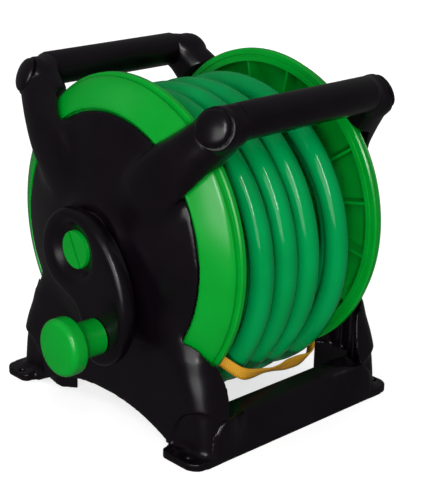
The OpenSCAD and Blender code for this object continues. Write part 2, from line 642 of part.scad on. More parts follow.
module crank_knob() {
    color(green) to_crank_side() on_knob() translate([0, 0, knob_back]) difference() {
        rotate_extrude() polygon(concat([[0, 0], [knob_stem_r - 0.5, 0], [knob_stem_r, 0.5],
            [knob_stem_r, knob_len - knob_head_t - 2], [knob_stem_r + 1.5, knob_len - knob_head_t - 0.4]],
            [for (a = [-75:15:75]) [knob_head_r - 4.6 + 4.6*cos(a), knob_len - 5 + 4.6*sin(a)]], [[0, knob_len - 0.4]]));
        translate([0, 0, -1]) cylinder(spindle_len + 1, spindle_r + run_gap, spindle_r + run_gap);
        translate([0, 0, spindle_len - 0.1]) cylinder(knob_len, 8, 8);
        translate([0, 0, knob_len - 3]) cylinder(4, knob_head_r - 4, knob_head_r - 4);
    }
}
module knob_cap() {
    color(green) to_crank_side() on_knob() translate([0, 0, knob_back + knob_len - 3]) rotate_extrude()
        polygon(concat([[0, 0], [knob_head_r - 4.1, 0], [knob_head_r - 4.1, 2.6]],
            [for (i = [1:6]) let (a = 90*i/6) [(knob_head_r - 4.1)*cos(a), 2.6 + 1.2*sin(a)]]));
}
module knob_spindle() {
    color("silver") to_crank_side() on_knob() difference() {
        translate([0, 0, crank_back]) cylinder(knob_back - crank_back + spindle_len - 0.5, spindle_r, spindle_r);
        translate([0, 0, knob_back + spindle_len - 14]) cylinder(20, 1.8, 1.8);
    }
}
module knob_screw() {
    color("silver") to_crank_side() on_knob() {
        translate([0, 0, knob_back + spindle_len + 0.2]) cylinder(2.6, 6.5, 5);
        translate([0, 0, knob_back + spindle_len - 12]) cylinder(13, 1.7, 1.7);
    }
}

// Water inlet on the far side: a fixed spindle with two seals inside the turning trunnion
inlet_r = 9;
inlet_base = crank_back + end_gap;
inlet_seal_x = [web_x - 2, web_x + 8];
module inlet_housing() {
    color(black) on_axle() difference() {
        rotate_extrude() polygon([[0, web_in - 8], [inlet_r, web_in - 8], [inlet_r, inlet_base],
            [bush_head_r + 1.5, inlet_base], [bush_head_r + 1.5, pad_x], [pad_r, pad_x], [pad_r, inlet_base + 2],
            [pad_r - 2, inlet_base + 4], [14, inlet_base + 6], [12, inlet_base + 14], [8, inlet_base + 15],
            [8, inlet_base + 19], [10, inlet_base + 20], [10, inlet_base + 23], [8, inlet_base + 24],
            [8, inlet_base + 31], [7, inlet_base + 33], [0, inlet_base + 33]]);
        translate([0, 0, web_in - 9]) cylinder(inlet_base + 60, 5, 5);
        for (x = inlet_seal_x) translate([0, 0, x - 1.1]) difference() {
            cylinder(2.2, 12, 12);
            translate([0, 0, -1]) cylinder(5, inlet_r - 1.5, inlet_r - 1.5);
        }
        for (a = [30:120:359]) rotate(a) {
            translate([pad_r - 4, 0, pad_x - 1]) cylinder(20, 1.7, 1.7);
            translate([pad_r - 4, 0, inlet_base + 4]) cylinder(6, 3.4, 3.4);
        }
    }
}
module inlet_seals() {
    color("dimgray") on_axle() for (x = inlet_seal_x) translate([0, 0, x])
        rotate_extrude() translate([inlet_r - 0.75, 0]) circle(0.76, $fn = 16);
}
module inlet_screws() {
    color("silver") on_axle() for (a = [30:120:359]) rotate(a) translate([pad_r - 4, 0, 0]) {
        translate([0, 0, inlet_base + 4]) cylinder(2, 3.2, 2.6);
        translate([0, 0, pad_x - 5]) cylinder(inlet_base + 10 - pad_x, 1.6, 1.6);
    }
}
module outlet_elbow() {
    color(black) on_axle() difference() {
        union() {
            translate([0, 0, web_in - 34]) cylinder(22, 12, 12);
            translate([0, 0, web_in - 24]) rotate([0, 90, 0]) cylinder(barrel_r - flange_t - 1, 8, 8);
        }
        translate([0, 0, web_in - 28]) cylinder(20, 5, 5);
        translate([0, 0, web_in - 24]) rotate([0, 90, 0]) cylinder(barrel_r, 5, 5);
    }
}
crank_side_panel();
far_side_panel();
front_grip_bar();
rear_grip_bar();
front_base_bar();
rear_base_bar();
plug_front_crank_side();
plug_rear_crank_side();
plug_front_far_side();
plug_rear_far_side();
drum_barrel();
crank_side_flange();
far_side_flange();
crank_side_bush();
far_side_bush();
hose_core();
hose_winding();
hose_strap();
crank_arm();
crank_bolt();
crank_knob();
knob_cap();
knob_spindle();
knob_screw();
inlet_housing();
inlet_seals();
inlet_screws();
outlet_elbow();
hose_end_connector();
base_bar_screws();
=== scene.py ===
# Portable hose reel: green drum with a wound hose between two black side panels, on a pale studio floor
import math
import numpy as np
import bpy
import bmesh
from mathutils import Vector, Matrix
from mathutils.kdtree import KDTree


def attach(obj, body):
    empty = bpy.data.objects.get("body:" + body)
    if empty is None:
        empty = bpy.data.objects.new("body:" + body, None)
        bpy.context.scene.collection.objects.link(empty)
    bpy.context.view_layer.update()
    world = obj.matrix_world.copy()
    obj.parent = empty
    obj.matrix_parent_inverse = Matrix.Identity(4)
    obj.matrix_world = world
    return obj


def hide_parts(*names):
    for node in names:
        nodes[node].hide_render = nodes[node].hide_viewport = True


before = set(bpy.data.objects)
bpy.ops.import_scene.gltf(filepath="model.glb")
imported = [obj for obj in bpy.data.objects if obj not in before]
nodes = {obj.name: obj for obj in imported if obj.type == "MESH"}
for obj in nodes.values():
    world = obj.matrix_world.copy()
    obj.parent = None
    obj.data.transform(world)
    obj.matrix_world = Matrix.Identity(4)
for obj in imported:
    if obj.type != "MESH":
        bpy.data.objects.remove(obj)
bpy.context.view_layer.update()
mm = 0.001
print("model loaded:", len(nodes), "nodes")

# camera matched to the photograph; the lens counts on the picture's 500 pixel side
cameraSettings = {
    "azimuth": -43.541,
    "elevation": 19.704,
    "roll": 1.036,
    "lens": 98.386,
    "sensor": 36,
    "farClip": 50,
    "place": (-678.69, -729.97, 468.97),
}


def placeCamera(s):
    az, el, roll = (math.radians(s[k]) for k in ("azimuth", "elevation", "roll"))
    back = Vector((math.sin(az) * math.cos(el), -math.cos(az) * math.cos(el), math.sin(el)))
    right = Vector((math.cos(az), math.sin(az), 0))
    up = back.cross(right)
    rolledRight = right * math.cos(roll) + up * math.sin(roll)
    rolledUp = up * math.cos(roll) - right * math.sin(roll)
    data = bpy.data.cameras.new("camera")
    data.lens = s["lens"]
    data.sensor_width = s["sensor"]
    data.clip_end = s["farClip"]
    camera = bpy.data.objects.new("camera", data)
    turn = Matrix((rolledRight, rolledUp, back)).transposed().to_4x4()
    camera.matrix_world = Matrix.Translation(Vector(s["place"]) * mm) @ turn
    bpy.context.scene.collection.objects.link(camera)
    bpy.context.scene.camera = camera


placeCamera(cameraSettings)
print("camera placed")


def toLinear(hexColour):
    parts = [int(hexColour[i:i + 2], 16) / 255 for i in (1, 3, 5)]
    return [p / 12.92 if p <= 0.04045 else ((p + 0.055) / 1.055) ** 2.4 for p in parts] + [1]


def addNode(tree, kind, settings=None, links=None):
    node = tree.nodes.new(kind)
    for key, value in (settings or {}).items():
        if key.startswith("in:"):
            name = key[3:]
            node.inputs[int(name) if name.isdigit() else name].default_value = value
        else:
            setattr(node, key, value)
    for name, source in (links or {}).items():
        tree.links.new(source, node.inputs[int(name) if name.isdigit() else name])
    return node


def newMaterial(name):
    material = bpy.data.materials.new(name)
    material.use_nodes = True
    material.node_tree.nodes.clear()
    return material, material.node_tree


# Injection moulded plastic: an even colour that drifts a little, a spark-eroded grain, soft shine.
# The real grain is finer; it's drawn about half a millimetre wide so that it shows at all
def mouldedPlastic(name, s):
    material, tree = newMaterial(name)
    place = addNode(tree, "ShaderNodeTexCoord").outputs["Object"]
    cloud = addNode(tree, "ShaderNodeTexNoise",
                    {"in:Scale": 1 / (s["cloudMm"] * mm), "in:Detail": 3}, {"Vector": place})
    tint = addNode(tree, "ShaderNodeValToRGB", {}, {"Fac": cloud.outputs["Fac"]})
    for element, position, tone in zip(tint.color_ramp.elements, (0.3, 0.7), ("dark", "light")):
        element.position = position
        element.color = toLinear(s[tone])
    rough = addNode(tree, "ShaderNodeMapRange",
                    {"in:3": s["roughness"] - 0.04, "in:4": s["roughness"] + 0.05},
                    {"Value": cloud.outputs["Fac"]})
    grain = addNode(tree, "ShaderNodeTexNoise",
                    {"in:Scale": 1 / (s["grainMm"] * mm), "in:Detail": 2}, {"Vector": place})
    bump = addNode(tree, "ShaderNodeBump",
                   {"in:Strength": s["grain"], "in:Distance": 0.1 * mm}, {"Height": grain.outputs["Fac"]})
    shader = addNode(tree, "ShaderNodeBsdfPrincipled",
                     {"in:IOR": 1.49, "in:Specular IOR Level": s["shine"]},
                     {"Base Color": tint.outputs["Color"], "Roughness": rough.outputs["Result"],
                      "Normal": bump.outputs["Normal"]})
    addNode(tree, "ShaderNodeOutputMaterial", {}, {"Surface": shader.outputs["BSDF"]})
    return material


# Extruded PVC garden hose: smooth and shiny, with faint drawn lines along its length, from its own UV map
def extrudedPvc(name, s):
    material, tree = newMaterial(name)
    uv = addNode(tree, "ShaderNodeUVMap", {"uv_map": "UVMap"}).outputs["UV"]
    place = addNode(tree, "ShaderNodeTexCoord").outputs["Object"]
    stretch = addNode(tree, "ShaderNodeMapping", {"in:Scale": (s["lineCount"], 6, 1)}, {"Vector": uv})
    lines = addNode(tree, "ShaderNodeTexNoise",
                    {"in:Scale": 1, "in:Detail": 2}, {"Vector": stretch.outputs["Vector"]})
    cloud = addNode(tree, "ShaderNodeTexNoise",
                    {"in:Scale": 1 / (s["cloudMm"] * mm), "in:Detail": 2}, {"Vector": place})
    tint = addNode(tree, "ShaderNodeValToRGB", {}, {"Fac": cloud.outputs["Fac"]})
    for element, position, tone in zip(tint.color_ramp.elements, (0.3, 0.7), ("dark", "light")):
        element.position = position
        element.color = toLinear(s[tone])
    bump = addNode(tree, "ShaderNodeBump",
                   {"in:Strength": s["drawn"], "in:Distance": 0.08 * mm}, {"Height": lines.outputs["Fac"]})
    shader = addNode(tree, "ShaderNodeBsdfPrincipled",
                     {"in:IOR": 1.53, "in:Roughness": s["roughness"], "in:Specular IOR Level": s["shine"]},
                     {"Base Color": tint.outputs["Color"], "Normal": bump.outputs["Normal"]})
    addNode(tree, "ShaderNodeOutputMaterial", {}, {"Surface": shader.outputs["BSDF"]})
    return material


# Woven polypropylene tape: flat threads crossing at right angles, which give it a fine checked relief.
# The wave's scale is divided by a full turn, which makes a band about as wide as one thread
def wovenTape(name, s):
    material, tree = newMaterial(name)
    uv = addNode(tree, "ShaderNodeUVMap", {"uv_map": "UVMap"}).outputs["UV"]
    scale = 1 / (s["threadMm"] * mm) / 6.283
    along, across = (addNode(tree, "ShaderNodeTexWave",
                             {"bands_direction": way, "in:Scale": scale, "in:Distortion": 0.4}, {"Vector": uv})
                     for way in "XY")
    weave = addNode(tree, "ShaderNodeMath", {"operation": "MAXIMUM"},
                    {"0": along.outputs["Fac"], "1": across.outputs["Fac"]})
    tint = addNode(tree, "ShaderNodeValToRGB", {}, {"Fac": weave.outputs["Value"]})
    for element, tone in zip(tint.color_ramp.elements, ("dark", "light")):
        element.color = toLinear(s[tone])
    bump = addNode(tree, "ShaderNodeBump",
                   {"in:Strength": s["relief"], "in:Distance": 0.2 * mm}, {"Height": weave.outputs["Value"]})
    shader = addNode(tree, "ShaderNodeBsdfPrincipled", {"in:IOR": 1.49, "in:Roughness": s["roughness"]},
                     {"Base Color": tint.outputs["Color"], "Normal": bump.outputs["Normal"]})
    addNode(tree, "ShaderNodeOutputMaterial", {}, {"Surface": shader.outputs["BSDF"]})
    return material


# Zinc plated steel: turned screw heads with a slightly cloudy plating
def zincSteel(name, s):
    material, tree = newMaterial(name)
    place = addNode(tree, "ShaderNodeTexCoord").outputs["Object"]
    cloud = addNode(tree, "ShaderNodeTexNoise",
                    {"in:Scale": 1 / (s["cloudMm"] * mm), "in:Detail": 4}, {"Vector": place})
    tint = addNode(tree, "ShaderNodeValToRGB", {}, {"Fac": cloud.outputs["Fac"]})
    for element, tone in zip(tint.color_ramp.elements, ("dark", "light")):
        element.color = toLinear(s[tone])
    shader = addNode(tree, "ShaderNodeBsdfPrincipled",
                     {"in:Metallic": 1, "in:Roughness": s["roughness"]}, {"Base Color": tint.outputs["Color"]})
    addNode(tree, "ShaderNodeOutputMaterial", {}, {"Surface": shader.outputs["BSDF"]})
    return material


blackPolypropylene = mouldedPlastic("blackPolypropylene", {
    "dark": "#060306", "light": "#090509", "cloudMm": 30,
    "grainMm": 0.5, "grain": 0.06, "roughness": 0.28, "shine": 0.33})
greenPolypropylene = mouldedPlastic("greenPolypropylene", {
    "dark": "#007a1e", "light": "#008324", "cloudMm": 35,
    "grainMm": 0.5, "grain": 0.05, "roughness": 0.24, "shine": 0.4})
greenPvc = extrudedPvc("greenPvc", {
    "dark": "#007538", "light": "#007f40", "cloudMm": 45,
    "lineCount": 60, "drawn": 0.15, "roughness": 0.1, "shine": 0.2})
yellowTape = wovenTape("yellowTape", {
    "dark": "#98690f", "light": "#c08c22", "threadMm": 0.9, "relief": 0.5, "roughness": 0.45})
ivoryAcetal = mouldedPlastic("ivoryAcetal", {
    "dark": "#d8d3c0", "light": "#e2ddcc", "cloudMm": 15,
    "grainMm": 0.4, "grain": 0.1, "roughness": 0.35, "shine": 0.5})
greyAbs = mouldedPlastic("greyAbs", {
    "dark": "#4b4c4f", "light": "#55565a", "cloudMm": 15,
    "grainMm": 0.4, "grain": 0.15, "roughness": 0.4, "shine": 0.5})
nitrileRubber = mouldedPlastic("nitrileRubber", {
    "dark": "#141414", "light": "#1b1b1b", "cloudMm": 8,
    "grainMm": 0.4, "grain": 0.2, "roughness": 0.6, "shine": 0.4})
zincPlatedSteel = zincSteel("zincPlatedSteel", {
    "dark": "#a5a7aa", "light": "#c3c5c8", "cloudMm": 2, "roughness": 0.32})
print("materials made")

finishes = {
    greenPolypropylene: ["drum_barrel", "crank_side_flange", "far_side_flange",
                         "crank_bolt", "crank_knob", "knob_cap"],
    greenPvc: ["hose_core", "hose_winding"],
    yellowTape: ["hose_strap"],
    ivoryAcetal: ["crank_side_bush", "far_side_bush"],
    zincPlatedSteel: ["knob_spindle", "knob_screw", "inlet_screws", "base_bar_screws"],
    nitrileRubber: ["inlet_seals"],
    greyAbs: ["hose_end_connector"],
}


dressing = {"weld": 0.02, "crease": 32}  # mm and degrees


def dressNode(name, material):
    node = nodes[name]
    if not node.material_slots:
        node.data.materials.append(material)
    for slot in node.material_slots:
        slot.material = material
    for face in node.data.polygons:
        face.use_smooth = True
    weld = node.modifiers.new("weld", "WELD")
    weld.merge_threshold = dressing["weld"] * mm
    split = node.modifiers.new("creases", "EDGE_SPLIT")
    split.split_angle = math.radians(dressing["crease"])


for name in nodes:
    material = next((m for m, names in finishes.items() if name in names), blackPolypropylene)
    dressNode(name, material)
print("nodes dressed")


def addMesh(name, points, faces, material, uvs=None):
    mesh = bpy.data.meshes.new(name)
    mesh.from_pydata([tuple(c * mm for c in p) for p in points], [], faces)
    mesh.materials.append(material)
    if uvs:
        layer = mesh.uv_layers.new(name="UVMap")
        for loop in mesh.loops:
            layer.data[loop.index].uv = uvs[loop.vertex_index]
    for face in mesh.polygons:
        face.use_smooth = True
    piece = bpy.data.objects.new(name, mesh)
    bpy.context.scene.collection.objects.link(piece)
    return piece


# Value at x in a table of (x, value), straight between its rows and level beyond its ends
def lookUp(x, table):
    if x <= table[0][0]:
        return table[0][1]
    for (a, b), (c, d) in zip(table, table[1:]):
        if x <= c:
            return b + (d - b) * (x - a) / (c - a)
    return table[-1][1]


# The arched recess over each foot screw, pressed back in after the smoothing that blurs its rim, in mm.
# Its frame stands at the leg's corner with +X out of the corner
nicheRim = {
    "corner": (-100, 99),
    "turn": 30,
    "back": 9.4,
    "shift": 6.8,
    "half": 24,
    "floor": 5.5,
    "rise": 34,
    "depth": 0.9,
    "ramp": 1.0,
    "behind": 12,
    "facing": 0.25,
    "sill": 8,
}

# Moulded skins: the black mouldings flow into each other, so their solids' creases are rounded off here.
# Lengths in mm: a fine voxel skin is relaxed everywhere but near the sharp outer edges, which stay crisp.
# "lips" are the thin edges of the hollow arms, and "fillet" deepens the blend at the inner creases
skins = {
    "crank_side_panel": {
        "voxel": 1.0, "rounds": 45, "keep": 3.5, "edgeShare": 0.1, "faces": 0.5,
        "lips": {"above": 150, "within": 92, "share": 0.45},
        "niche": nicheRim,
        "fillet": {"crease": 12, "reach": 15, "rounds": 160, "above": 75, "gain": 1.6, "facing": -0.15},
    },
    "front_base_bar": {"side": -1, "voxel": 0.8, "rounds": 30, "keep": 2.5, "edgeShare": 0.25, "faces": 0.5},
    "rear_base_bar": {"side": 1, "voxel": 0.8, "rounds": 30, "keep": 2.5, "edgeShare": 0.25, "faces": 0.5},
    "crank_arm": {"voxel": 0.8, "rounds": 40, "keep": 2, "edgeShare": 0.6, "faces": 0.5},
}
skinning = {"weld": 0.02, "spacing": 1.5, "outerCrease": 40, "crisp": 0.8, "step": 0.6}


# A merged copy of the mesh, and a tree of points along its edges that are sharper than an angle
def outerEdges(source, degrees, inner=False):
    shape = bmesh.new()
    shape.from_mesh(source)
    bmesh.ops.remove_doubles(shape, verts=shape.verts, dist=skinning["weld"] * mm)
    places = []
    for edge in shape.edges:
        angle = edge.calc_face_angle_signed(0) * (-1 if inner else 1)
        if len(edge.link_faces) == 2 and angle > math.radians(degrees):
            a, b = (v.co for v in edge.verts)
            count = max(1, int((b - a).length / (skinning["spacing"] * mm)))
            places += [a.lerp(b, (i + 0.5) / count) for i in range(count)]
    tree = KDTree(len(places))
    for i, place in enumerate(places):
        tree.insert(place, i)
    tree.balance()
    clean = bpy.data.meshes.new("clean")
    shape.to_mesh(clean)
    shape.free()
    return clean, tree


def applied(mesh, kind, settings):
    carrier = bpy.data.objects.new("carrier", mesh)
    bpy.context.scene.collection.objects.link(carrier)
    modifier = carrier.modifiers.new(kind, kind)
    for key, value in settings.items():
        setattr(modifier, key, value)
    bpy.context.view_layer.update()
    result = bpy.data.meshes.new_from_object(carrier.evaluated_get(bpy.context.evaluated_depsgraph_get()))
    bpy.data.objects.remove(carrier)
    return result


def readPoints(source, key):
    values = np.empty(len(source) * 3)
    source.foreach_get(key, values)
    return values.reshape(-1, 3)


def movePoints(mesh, place):
    mesh.vertices.foreach_set("co", place.ravel())
    mesh.update()


# Laplacian smoothing whose share fades out near the sharp edges. With creases, only points near them move
def relax(mesh, edges, s, creases=None):
    place = readPoints(mesh.vertices, "co")
    count = len(place)
    ends = np.empty(len(mesh.edges) * 2, dtype=np.int64)
    mesh.edges.foreach_get("vertices", ends)
    a, b = ends[0::2], ends[1::2]
    neighbours = (np.bincount(a, minlength=count) + np.bincount(b, minlength=count))[:, None]
    away = np.array([edges.find(p)[2] for p in place]) / mm
    share = s["edgeShare"] + (1 - s["edgeShare"]) * np.clip((away - skinning["crisp"]) / s["keep"], 0, 1)
    if "lips" in s:
        thin = (place[:, 2] > s["lips"]["above"] * mm) & (np.abs(place[:, 0]) < s["lips"]["within"] * mm)
        share = np.where(thin, np.maximum(share, s["lips"]["share"]), share)
    if creases:
        fillet = s["fillet"]
        facing = readPoints(mesh.vertex_normals, "vector")
        reach = np.array([creases.find(p)[2] for p in place]) / mm / fillet["reach"]
        share *= np.clip(fillet["gain"] * (1 - reach), 0, 1)
        share *= (facing[:, 0] < fillet["facing"]) * (place[:, 2] > fillet["above"] * mm)
    for _ in range(s["rounds"]):
        total = np.stack([np.bincount(a, place[b, k], count) + np.bincount(b, place[a, k], count)
                          for k in range(3)], 1)
        place += skinning["step"] * share[:, None] * (total / neighbours - place)
    movePoints(mesh, place)


# The bar's swollen end runs flush over the leg's inner edge and then sinks into the leg, in mm.
# "leg" is where the leg begins at a height on the bar, and "brow" the bar's upper front edge as (y, z)
barEnd = {
    "from": 69.3,
    "leg": [(0, 78.8), (10, 78.8), (22, 77.3), (32, 69.8)],
    "over": 2.5,
    "proud": 0.15,
    "end": 8,
    "sink": 2.6,
    "front": 113,
    "lean": 2.6,
    "heights": (0, 2, 7, 12, 17, 22, 26, 30),
    "brow": (109, 31),
    "back": 87,
    "backHeights": (30, 22, 12, 0),
    "topFrom": 25,
}


def addBarEnds(mesh, side, s):
    foot, top = s["heights"][1], s["heights"][-1]
    ring = [(s["front"] - s["lean"] * max(h - foot, 0) / (top - foot), h) for h in s["heights"]]
    ring += [s["brow"]] + [(s["back"], h) for h in s["backHeights"]]
    shape = bmesh.new()
    shape.from_mesh(mesh)
    for end in (-1, 1):
        loops = []
        for past, inward in ((None, 0), (s["over"], -s["proud"]), (s["end"], s["sink"])):
            loops.append([])
            for y, z in ring:
                x = s["from"] if past is None else lookUp(z, s["leg"]) + past
                across = y - (inward if y > s["back"] else 0)
                height = z - (max(inward, 0) if z > s["topFrom"] else 0)
                loops[-1].append(shape.verts.new((end * x * mm, side * across * mm, height * mm)))
        count = len(ring)
        faces = [shape.faces.new((near[i], near[(i + 1) % count], far[(i + 1) % count], far[i]))
                 for near, far in zip(loops, loops[1:]) for i in range(count)]
        faces += [shape.faces.new(loops[0]), shape.faces.new(loops[-1])]
        bmesh.ops.recalc_face_normals(shape, faces=faces)
    shape.to_mesh(mesh)
    shape.free()


def pressNiches(mesh, s):
    place = readPoints(mesh.vertices, "co") / mm
    facing = readPoints(mesh.vertex_normals, "vector")
    tiny = 1e-6
    for side in (-1, 1):
        turn = math.radians(s["turn"])
        out = np.array([-math.cos(turn), side * math.sin(turn), 0])
        across = np.array([math.sin(turn), side * math.cos(turn), 0])
        corner = np.array([s["corner"][0], side * s["corner"][1], 0]) - s["back"] * out + s["shift"] * across
        local = place - corner
        u, w = (local @ across) / s["half"], (local[:, 2] - s["floor"]) / s["rise"]
        span = np.sqrt(u * u + w * w) + tiny
        slope = np.sqrt((u / s["half"]) ** 2 + (w / s["rise"]) ** 2) / span
        inside = (1 - span) / (slope + tiny)
        press = np.clip(inside / s["ramp"] + 0.5, 0, 1) * (local @ out > -s["behind"])
        press = press * (facing @ out > s["facing"]) * np.clip(w * s["sill"], 0, 1)
        place -= s["depth"] * press[:, None] * out
    movePoints(mesh, place * mm)


# Domed caps in the elbows, a little flatter than the elbow's own ball, in mm and degrees
elbowCap = {
    "elbow": (75.5, 100, 239.5),
    "out": (0.87, 0.3, 0.38),
    "radius": 13.1,
    "seat": 10.4,
    "edge": 0.9,
    "rise": 5.5,
    "dome": (0, 12, 25, 38, 50, 62, 74, 84, 90),
    "nodes": {
        "plug_front_crank_side": (-1, -1),
        "plug_rear_crank_side": (-1, 1),
        "plug_front_far_side": (1, -1),
        "plug_rear_far_side": (1, 1),
    },
}


# Round each cap the smoothing has shrunk the elbow's ball, so it's swelled again until it is flush with the cap
ballSwell = {"radius": 17.5, "clear": 13.3, "fade": 0.6, "reach": 24, "coneFrom": 0.1, "coneOver": 0.4}


def swellElbows(mesh, s, cap):
    place = readPoints(mesh.vertices, "co") / mm
    for side in (-1, 1):
        centre = np.array([-cap["elbow"][0], side * cap["elbow"][1], cap["elbow"][2]])
        out = np.array([-cap["out"][0], side * cap["out"][1], cap["out"][2]])
        out /= np.linalg.norm(out)
        offset = place - centre
        distance = np.linalg.norm(offset, axis=1)
        along = offset @ out
        aside = np.sqrt(np.maximum(distance ** 2 - along ** 2, 0))
        cone = np.clip((along / distance - s["coneFrom"]) / s["coneOver"], 0, 1)
        share = cone * np.clip((aside - s["clear"]) / s["fade"] + 1, 0, 1) * (distance < s["reach"])
        grow = share * np.maximum(s["radius"] - distance, 0)
        place += offset / distance[:, None] * grow[:, None]
    movePoints(mesh, place * mm)


def mouldedSkin(name, s):
    source = nodes[name].data.copy()
    if "side" in s:
        addBarEnds(source, s["side"], barEnd)
    clean, edges = outerEdges(source, skinning["outerCrease"])
    mesh = applied(clean, "REMESH", {"mode": "VOXEL", "voxel_size": s["voxel"] * mm})
    relax(mesh, edges, s)
    if "fillet" in s:
        creases = outerEdges(nodes[name].data, s["fillet"]["crease"], inner=True)[1]
        relax(mesh, edges, {**s, "rounds": s["fillet"]["rounds"]}, creases)
    if "niche" in s:
        pressNiches(mesh, s["niche"])
        swellElbows(mesh, ballSwell, elbowCap)
    mesh = applied(mesh, "DECIMATE", {"ratio": s["faces"]})
    for face in mesh.polygons:
        face.use_smooth = True
    mesh.materials.clear()
    mesh.materials.append(blackPolypropylene)
    mesh.name = name + "Skin"
    return mesh


def placeSkin(mesh, label, node, body):
    piece = bpy.data.objects.new(label, mesh)
    bpy.context.scene.collection.objects.link(piece)
    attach(piece, body)
    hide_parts(node)
    print(label, "skinned:", len(mesh.polygons), "faces")


placeSkin(mouldedSkin("front_base_bar", skins["front_base_bar"]), "frontBaseBar", "front_base_bar", "frame")
placeSkin(mouldedSkin("rear_base_bar", skins["rear_base_bar"]), "rearBaseBar", "rear_base_bar", "frame")
placeSkin(mouldedSkin("crank_arm", skins["crank_arm"]), "crankArm", "crank_arm", "drum")
panelSkin = mouldedSkin("crank_side_panel", skins["crank_side_panel"])
placeSkin(panelSkin, "crankSidePanel", "crank_side_panel", "frame")
farSkin = panelSkin.copy()
farSkin.transform(Matrix.Diagonal((-1, 1, 1, 1)))
farSkin.flip_normals()
placeSkin(farSkin, "farSidePanel", "far_side_panel", "frame")


# Turned and domed pieces, as profiles of (radius, height) in mm that are spun about their own axis
turning = {"steps": 72, "merge": 0.01, "crease": 40}


def spin(name, profile, place, material):
    points, faces = [], []
    steps = turning["steps"]
    for r, h in profile:
        for i in range(steps):
            angle = 2 * math.pi * i / steps
            points.append(place @ Vector((r * math.cos(angle), r * math.sin(angle), h)))
    for j in range(len(profile) - 1):
        for i in range(steps):
            a, b = j * steps + i, j * steps + (i + 1) % steps
            faces.append((a, b, b + steps, a + steps))
    piece = addMesh(name, points, faces, material)
    shape = bmesh.new()
    shape.from_mesh(piece.data)
    bmesh.ops.remove_doubles(shape, verts=shape.verts, dist=turning["merge"] * mm)
    bmesh.ops.recalc_face_normals(shape, faces=shape.faces)
    shape.to_mesh(piece.data)
    shape.free()
    split = piece.modifiers.new("creases", "EDGE_SPLIT")
    split.split_angle = math.radians(turning["crease"])
    return piece


def arc(centre, radius, start, end, steps):
    angles = [math.radians(start + (end - start) * i / steps) for i in range(steps + 1)]
    return [(centre[0] + radius * math.cos(a), centre[1] + radius * math.sin(a)) for a in angles]


def makeCaps(s):
    r, base = s["radius"], s["seat"]
    edge, high = s["edge"], s["rise"] - s["edge"]
    profile = [(0, base), (r, base)]
    dome = [math.radians(a) for a in s["dome"]]
    profile += [(r * math.cos(a), base + edge + high * math.sin(a)) for a in dome]
    for node, (sideX, sideY) in s["nodes"].items():
        centre = Vector((sideX * s["elbow"][0], sideY * s["elbow"][1], s["elbow"][2]))
        out = Vector((sideX * s["out"][0], sideY * s["out"][1], s["out"][2]))
        place = Matrix.Translation(centre) @ out.to_track_quat("Z", "Y").to_matrix().to_4x4()
        piece = spin(node.replace("plug", "cap"), profile, place, blackPolypropylene)
        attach(piece, "frame")
        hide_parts(node)


makeCaps(elbowCap)

# Grip bars: tubes that cover the elbows' collar edges and then taper away inside them, so no seam shows
grip = {
    "radius": 13.1,
    "full": 62.5,
    "half": 65.5,
    "bevel": (0.3, 1),
    "inside": 12.2,
    "bore": 6,
    "y": 105.5,
    "z": 245,
    "nodes": {"front_grip_bar": -1, "rear_grip_bar": 1},
}


def makeGrips(s):
    r, h = s["radius"], s["half"]
    half = [(s["bore"], h), (s["inside"], h), (r - s["bevel"][0], s["full"] + s["bevel"][1]), (r, s["full"])]
    profile = [(q, -x) for q, x in half] + half[::-1] + [(s["bore"], -h)]
    for node, side in s["nodes"].items():
        place = Matrix.Translation((0, side * s["y"], s["z"])) @ Matrix.Rotation(math.pi / 2, 4, "Y")
        piece = spin("gripBar" + ("Front" if side < 0 else "Rear"), profile, place, blackPolypropylene)
        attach(piece, "frame")
        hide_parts(node)


makeGrips(grip)

# Knob: a stem under a thick mushroom head with a round front rim and a slightly domed face
knob = {
    "spindle": (-124.6, -28.6014, 83.8666),
    "bore": 5.1,
    "stem": 13.2,
    "foot": 0.5,
    "neck": 22.5,
    "flare": (0.6, 1.5),
    "head": 21,
    "back": 2.2,
    "rim": 4.6,
    "rimEnd": 84,
    "long": 36.6,
    "dome": 0.9,
    "domeShares": (0.9, 0.7, 0.45, 0.2, 0),
}


def knobProfile(s):
    face = s["head"] - s["rim"]
    profile = [(s["bore"], 0), (s["stem"] - s["foot"], 0), (s["stem"], s["foot"]),
               (s["stem"], s["neck"] - s["flare"][1]), (s["stem"] + s["flare"][0], s["neck"])]
    profile += arc((s["head"] - s["back"], s["neck"] + s["back"]), s["back"], -90, 0, 6)
    profile += arc((face, s["long"] - s["dome"] - s["rim"]), s["rim"], 0, s["rimEnd"], 10)
    return profile + [(face * t, s["long"] - s["dome"] * t * t) for t in s["domeShares"]]


place = Matrix.Translation(knob["spindle"]) @ Matrix.Rotation(-math.pi / 2, 4, "Y")
crankKnob = spin("crankKnob", knobProfile(knob), place, greenPolypropylene)
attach(crankKnob, "knob")
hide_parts("crank_knob", "knob_cap")
print("caps, grips and knob turned")


